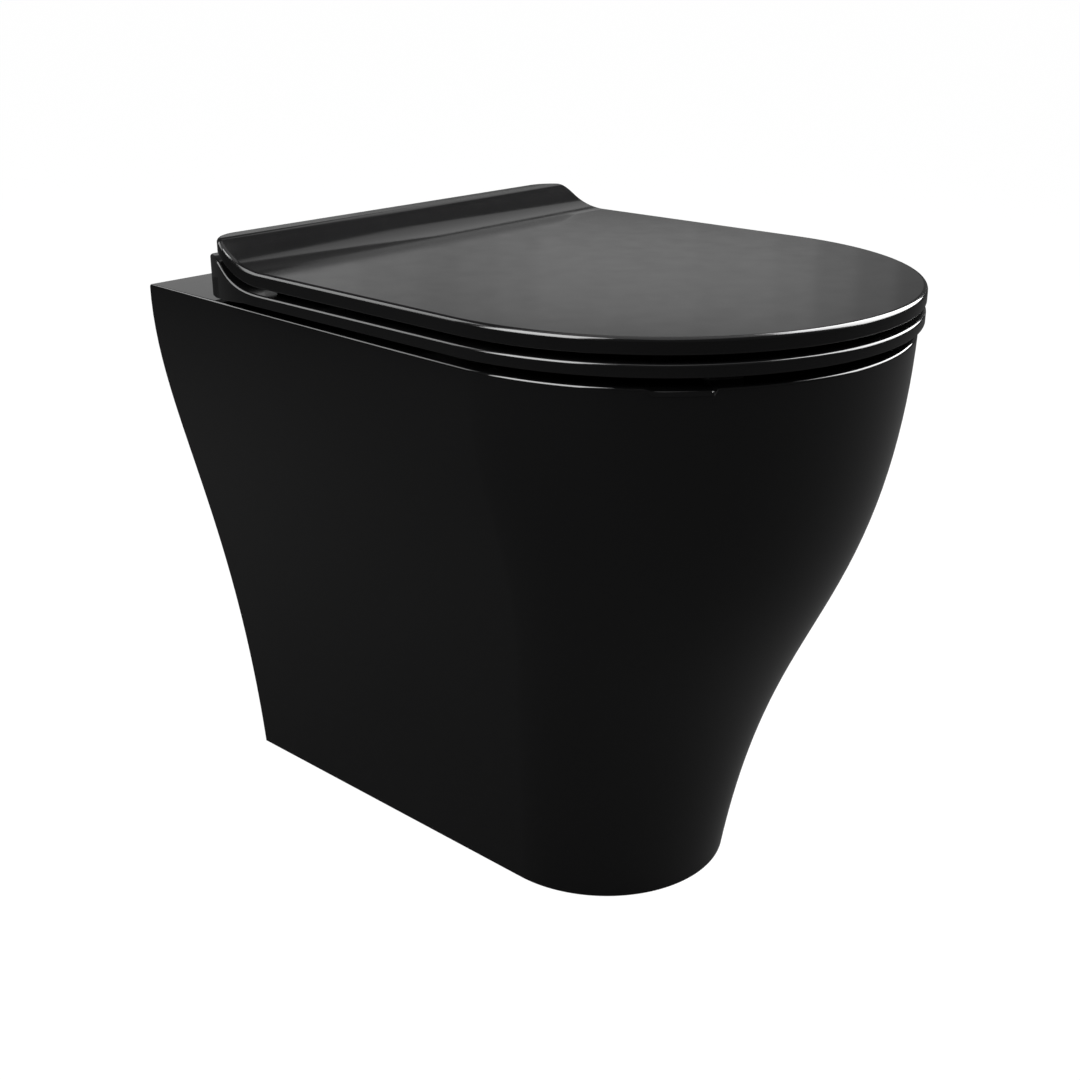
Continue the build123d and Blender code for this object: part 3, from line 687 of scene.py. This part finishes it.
def make_pan(material):
    """The casting as one even wall: skirt, rim, deck and bowl."""
    obj = draw_skirt()
    draw_bowl(obj)
    pick(obj, "EDGE", lambda e: len(e.link_faces) < 2 and level(e, RIM))
    bpy.ops.mesh.bridge_edge_loops()
    for spot, normal in (((SLOT_HALF, 0, 0), (1, 0, 0)), ((-SLOT_HALF, 0, 0), (1, 0, 0)),
                         ((0, 0, SLOT_LOW), (0, 0, 1)), ((0, 0, SLOT_HIGH), (0, 0, 1))):
        pick(obj, "FACE", lambda f: all(in_mouth(v) and BOWL_BACK_LOW < v.co.z < BOWL_BACK_HIGH
                                        and place_of(v) < BOWL_BACK for v in f.verts))
        bpy.ops.mesh.bisect(plane_co=spot, plane_no=normal)
    pick(obj, "FACE", lambda f: abs(f.calc_center_median().x) < SLOT_HALF
         and SLOT_LOW < f.calc_center_median().z < SLOT_HIGH
         and SLOT_REACH < wall_y - f.calc_center_median().y < BOWL_BACK)
    bpy.ops.mesh.delete(type="FACE")
    face_outwards()
    mesh = bmesh.from_edit_mesh(obj.data)
    deck = [f for f in mesh.faces if level(f, RIM)]
    if sum(f.normal.z * f.calc_area() for f in deck) < 0:
        bpy.ops.mesh.flip_normals()
    bpy.ops.object.mode_set(mode="OBJECT")
    bpy.ops.object.modifier_add(type="SOLIDIFY")
    wall = obj.modifiers[-1]
    wall.thickness, wall.offset, wall.use_even_offset = CASTING_WALL, -1, True
    bpy.ops.object.modifier_apply(modifier=wall.name)
    bpy.ops.object.mode_set(mode="EDIT")
    pick(obj, "EDGE", lambda e: folded(e, *RIM_FOLD) and level(e, RIM)
         and not any(in_mouth(v) for v in e.verts))
    round_off(RIM_ROUND, 6)
    pick(obj, "EDGE", lambda e: folded(e, *RIM_FOLD) and level(e, RIM)
         and all(in_mouth(v) for v in e.verts))
    round_off(MOUTH_ROUND, 8)
    return finish_piece(obj, "pan_casting", material, "pan", ["shroud", "deck", "bowl"])


# Studio

ROOM, FLOOR_IN_MIRRORS = 0.09, 0.047
FLOOR_PAINT, FLOOR_GLOW, FLOOR_SIZE, FLOOR_DROP = 0.06, 0.99, 120, 0.0004

# Lamps: name, heading, distance, height, size, radiance, tilt
LAMPS = (
    ("left_softbox", -85, 1.5, 1.75, (1.2, 1.5), 4.0, 25),
    ("right_softbox", 122, 1.5, 1.6, (1.8, 1.5), 5.0, 25),
    ("overhead", 180, 0.2, 2.6, (2.6, 2.6), 0.8, 90),
    ("back_high", 54, 3.2, 2.55, (1.05, 1.85), 0.5, 0),
)
# Panels that the lid mirrors: heading, half of the angle across, radiance
BACK, BACK_HEIGHT, BACK_TALL = 3.2, 1.13, 0.38
BACK_PANELS = (
    (31, 7, 0.36), (39.5, 1.5, 0.31), (42, 1, 0.28), (44, 1, 0.31), (46, 1, 0.34),
    (51, 4, 0.38), (57, 2, 0.36), (60, 1, 0.32), (62, 1, 0.25), (64, 1, 0.18), (66, 1, 0.11),
)
# Lamps that only mirrors show
GLEAMS = (
    ("left_gleam", -85, 1.45, 1.5, (1.3, 1.6), 9.0, 25),
    ("left_back_gleam", -32, 1.9, 1.5, (0.9, 1.5), 4.0, 25),
    ("right_gleam", 118, 1.45, 1.5, (1.7, 1.9), 9.0, 25),
)
CAMERA_X, CAMERA_SETBACK, CAMERA_HEIGHT = -0.7833, 0.9599, 0.6463
CAMERA_DOWN, CAMERA_TURN, LENS, SENSOR = 21.578, 47.386, 50, 36


def ray_kinds(tree, mirror_share):
    """1 for camera and transmission rays, and a share of that for glossy rays."""
    path = tree.nodes.new("ShaderNodeLightPath")
    share = node(tree, "ShaderNodeMath")
    share.operation = "MULTIPLY"
    share.inputs[1].default_value = mirror_share
    tree.links.new(path.outputs["Is Glossy Ray"], share.inputs[0])
    last = share.outputs["Value"]
    for kind in ("Is Camera Ray", "Is Transmission Ray"):
        most = node(tree, "ShaderNodeMath")
        most.operation = "MAXIMUM"
        tree.links.new(last, most.inputs[0])
        tree.links.new(path.outputs[kind], most.inputs[1])
        last = most.outputs["Value"]
    return last


def pale_floor(paint, glow, mirror_share):
    """Paint that keeps the object's shadow, under a white glow for the camera."""
    material = bpy.data.materials.new("pale_floor")
    material.use_nodes = True
    tree = material.node_tree
    tree.nodes.clear()
    out = node(tree, "ShaderNodeOutputMaterial")
    coat = node(tree, "ShaderNodeBsdfDiffuse", Color=(paint, paint, paint, 1))
    light = node(tree, "ShaderNodeEmission")
    strength = node(tree, "ShaderNodeMath")
    strength.operation = "MULTIPLY"
    strength.inputs[1].default_value = glow
    tree.links.new(ray_kinds(tree, mirror_share), strength.inputs[0])
    tree.links.new(strength.outputs["Value"], light.inputs["Strength"])
    total = node(tree, "ShaderNodeAddShader")
    tree.links.new(coat.outputs["BSDF"], total.inputs[0])
    tree.links.new(light.outputs["Emission"], total.inputs[1])
    tree.links.new(total.outputs["Shader"], out.inputs["Surface"])
    return material


def make_floor():
    bpy.ops.object.select_all(action="DESELECT")
    bpy.ops.mesh.primitive_plane_add(size=FLOOR_SIZE, location=(0, 0, -FLOOR_DROP))
    floor = bpy.context.object
    floor.name = "floor"
    dress(floor, pale_floor(FLOOR_PAINT, FLOOR_GLOW, FLOOR_IN_MIRRORS))


def make_world():
    """White for the camera. The glaze mirrors the room, which the photo shows dark."""
    world = bpy.data.worlds.new("studio")
    scene.world = world
    world.use_nodes = True
    tree = world.node_tree
    tree.nodes.clear()
    out = node(tree, "ShaderNodeOutputWorld")
    dim = node(tree, "ShaderNodeBackground", Color=(1, 1, 1, 1), Strength=ROOM)
    white = node(tree, "ShaderNodeBackground", Color=(1, 1, 1, 1), Strength=1.0)
    mix = node(tree, "ShaderNodeMixShader")
    tree.links.new(ray_kinds(tree, 0.0), mix.inputs["Fac"])
    tree.links.new(dim.outputs["Background"], mix.inputs[1])
    tree.links.new(white.outputs["Background"], mix.inputs[2])
    tree.links.new(mix.outputs["Shader"], out.inputs["Surface"])


def lamp(name, heading, distance, height, size, radiance, rise=0):
    """A soft lamp that faces the object. Heading 0 is +Y and 90 is +X, in degrees."""
    data = bpy.data.lights.new(name, "AREA")
    data.shape = "RECTANGLE"
    data.size, data.size_y = size
    data.energy = radiance * math.pi * size[0] * size[1]
    obj = bpy.data.objects.new(name, data)
    turn = math.radians(heading)
    obj.location = (distance * math.sin(turn), distance * math.cos(turn), height)
    obj.rotation_euler = (math.radians(rise - 90), 0, -turn)
    obj.visible_camera = False
    scene.collection.objects.link(obj)
    return obj


def make_lamps():
    """High softboxes, a soft top, and what the lid and the roundings mirror."""
    for row in LAMPS:
        lamp(*row)
    for heading, half_turn, radiance in BACK_PANELS:
        width = 2 * BACK * math.tan(math.radians(half_turn))
        lamp("back_panel", heading, BACK, BACK_HEIGHT, (width, BACK_TALL), radiance)
    for row in GLEAMS:
        lamp(*row).visible_diffuse = False


def make_camera():
    data = bpy.data.cameras.new("camera")
    data.lens = LENS
    data.sensor_width = SENSOR
    camera = bpy.data.objects.new("camera", data)
    camera.location = (CAMERA_X, at(CAMERA_SETBACK), CAMERA_HEIGHT)
    camera.rotation_euler = (math.radians(90 - CAMERA_DOWN), 0, math.radians(-CAMERA_TURN))
    scene.collection.objects.link(camera)
    scene.camera = camera


finish = finishes()
dress_nodes(finish)
make_pan(finish["glaze"])
make_lid(finish["seat_plastic"])
make_ring(finish["seat_plastic"])
for word, side in (("left", -1), ("right", 1)):
    make_lid_lug(side, "lid_lug_" + word, finish["seat_plastic"])
    make_seat_knuckles(side, "seat_knuckle_" + word, finish["seat_plastic"])
    make_clamp_lug(side, "clamp_lug_" + word, finish["glaze"])
make_floor()
make_world()
make_lamps()
make_camera()
scene.view_settings.view_transform = "Standard"
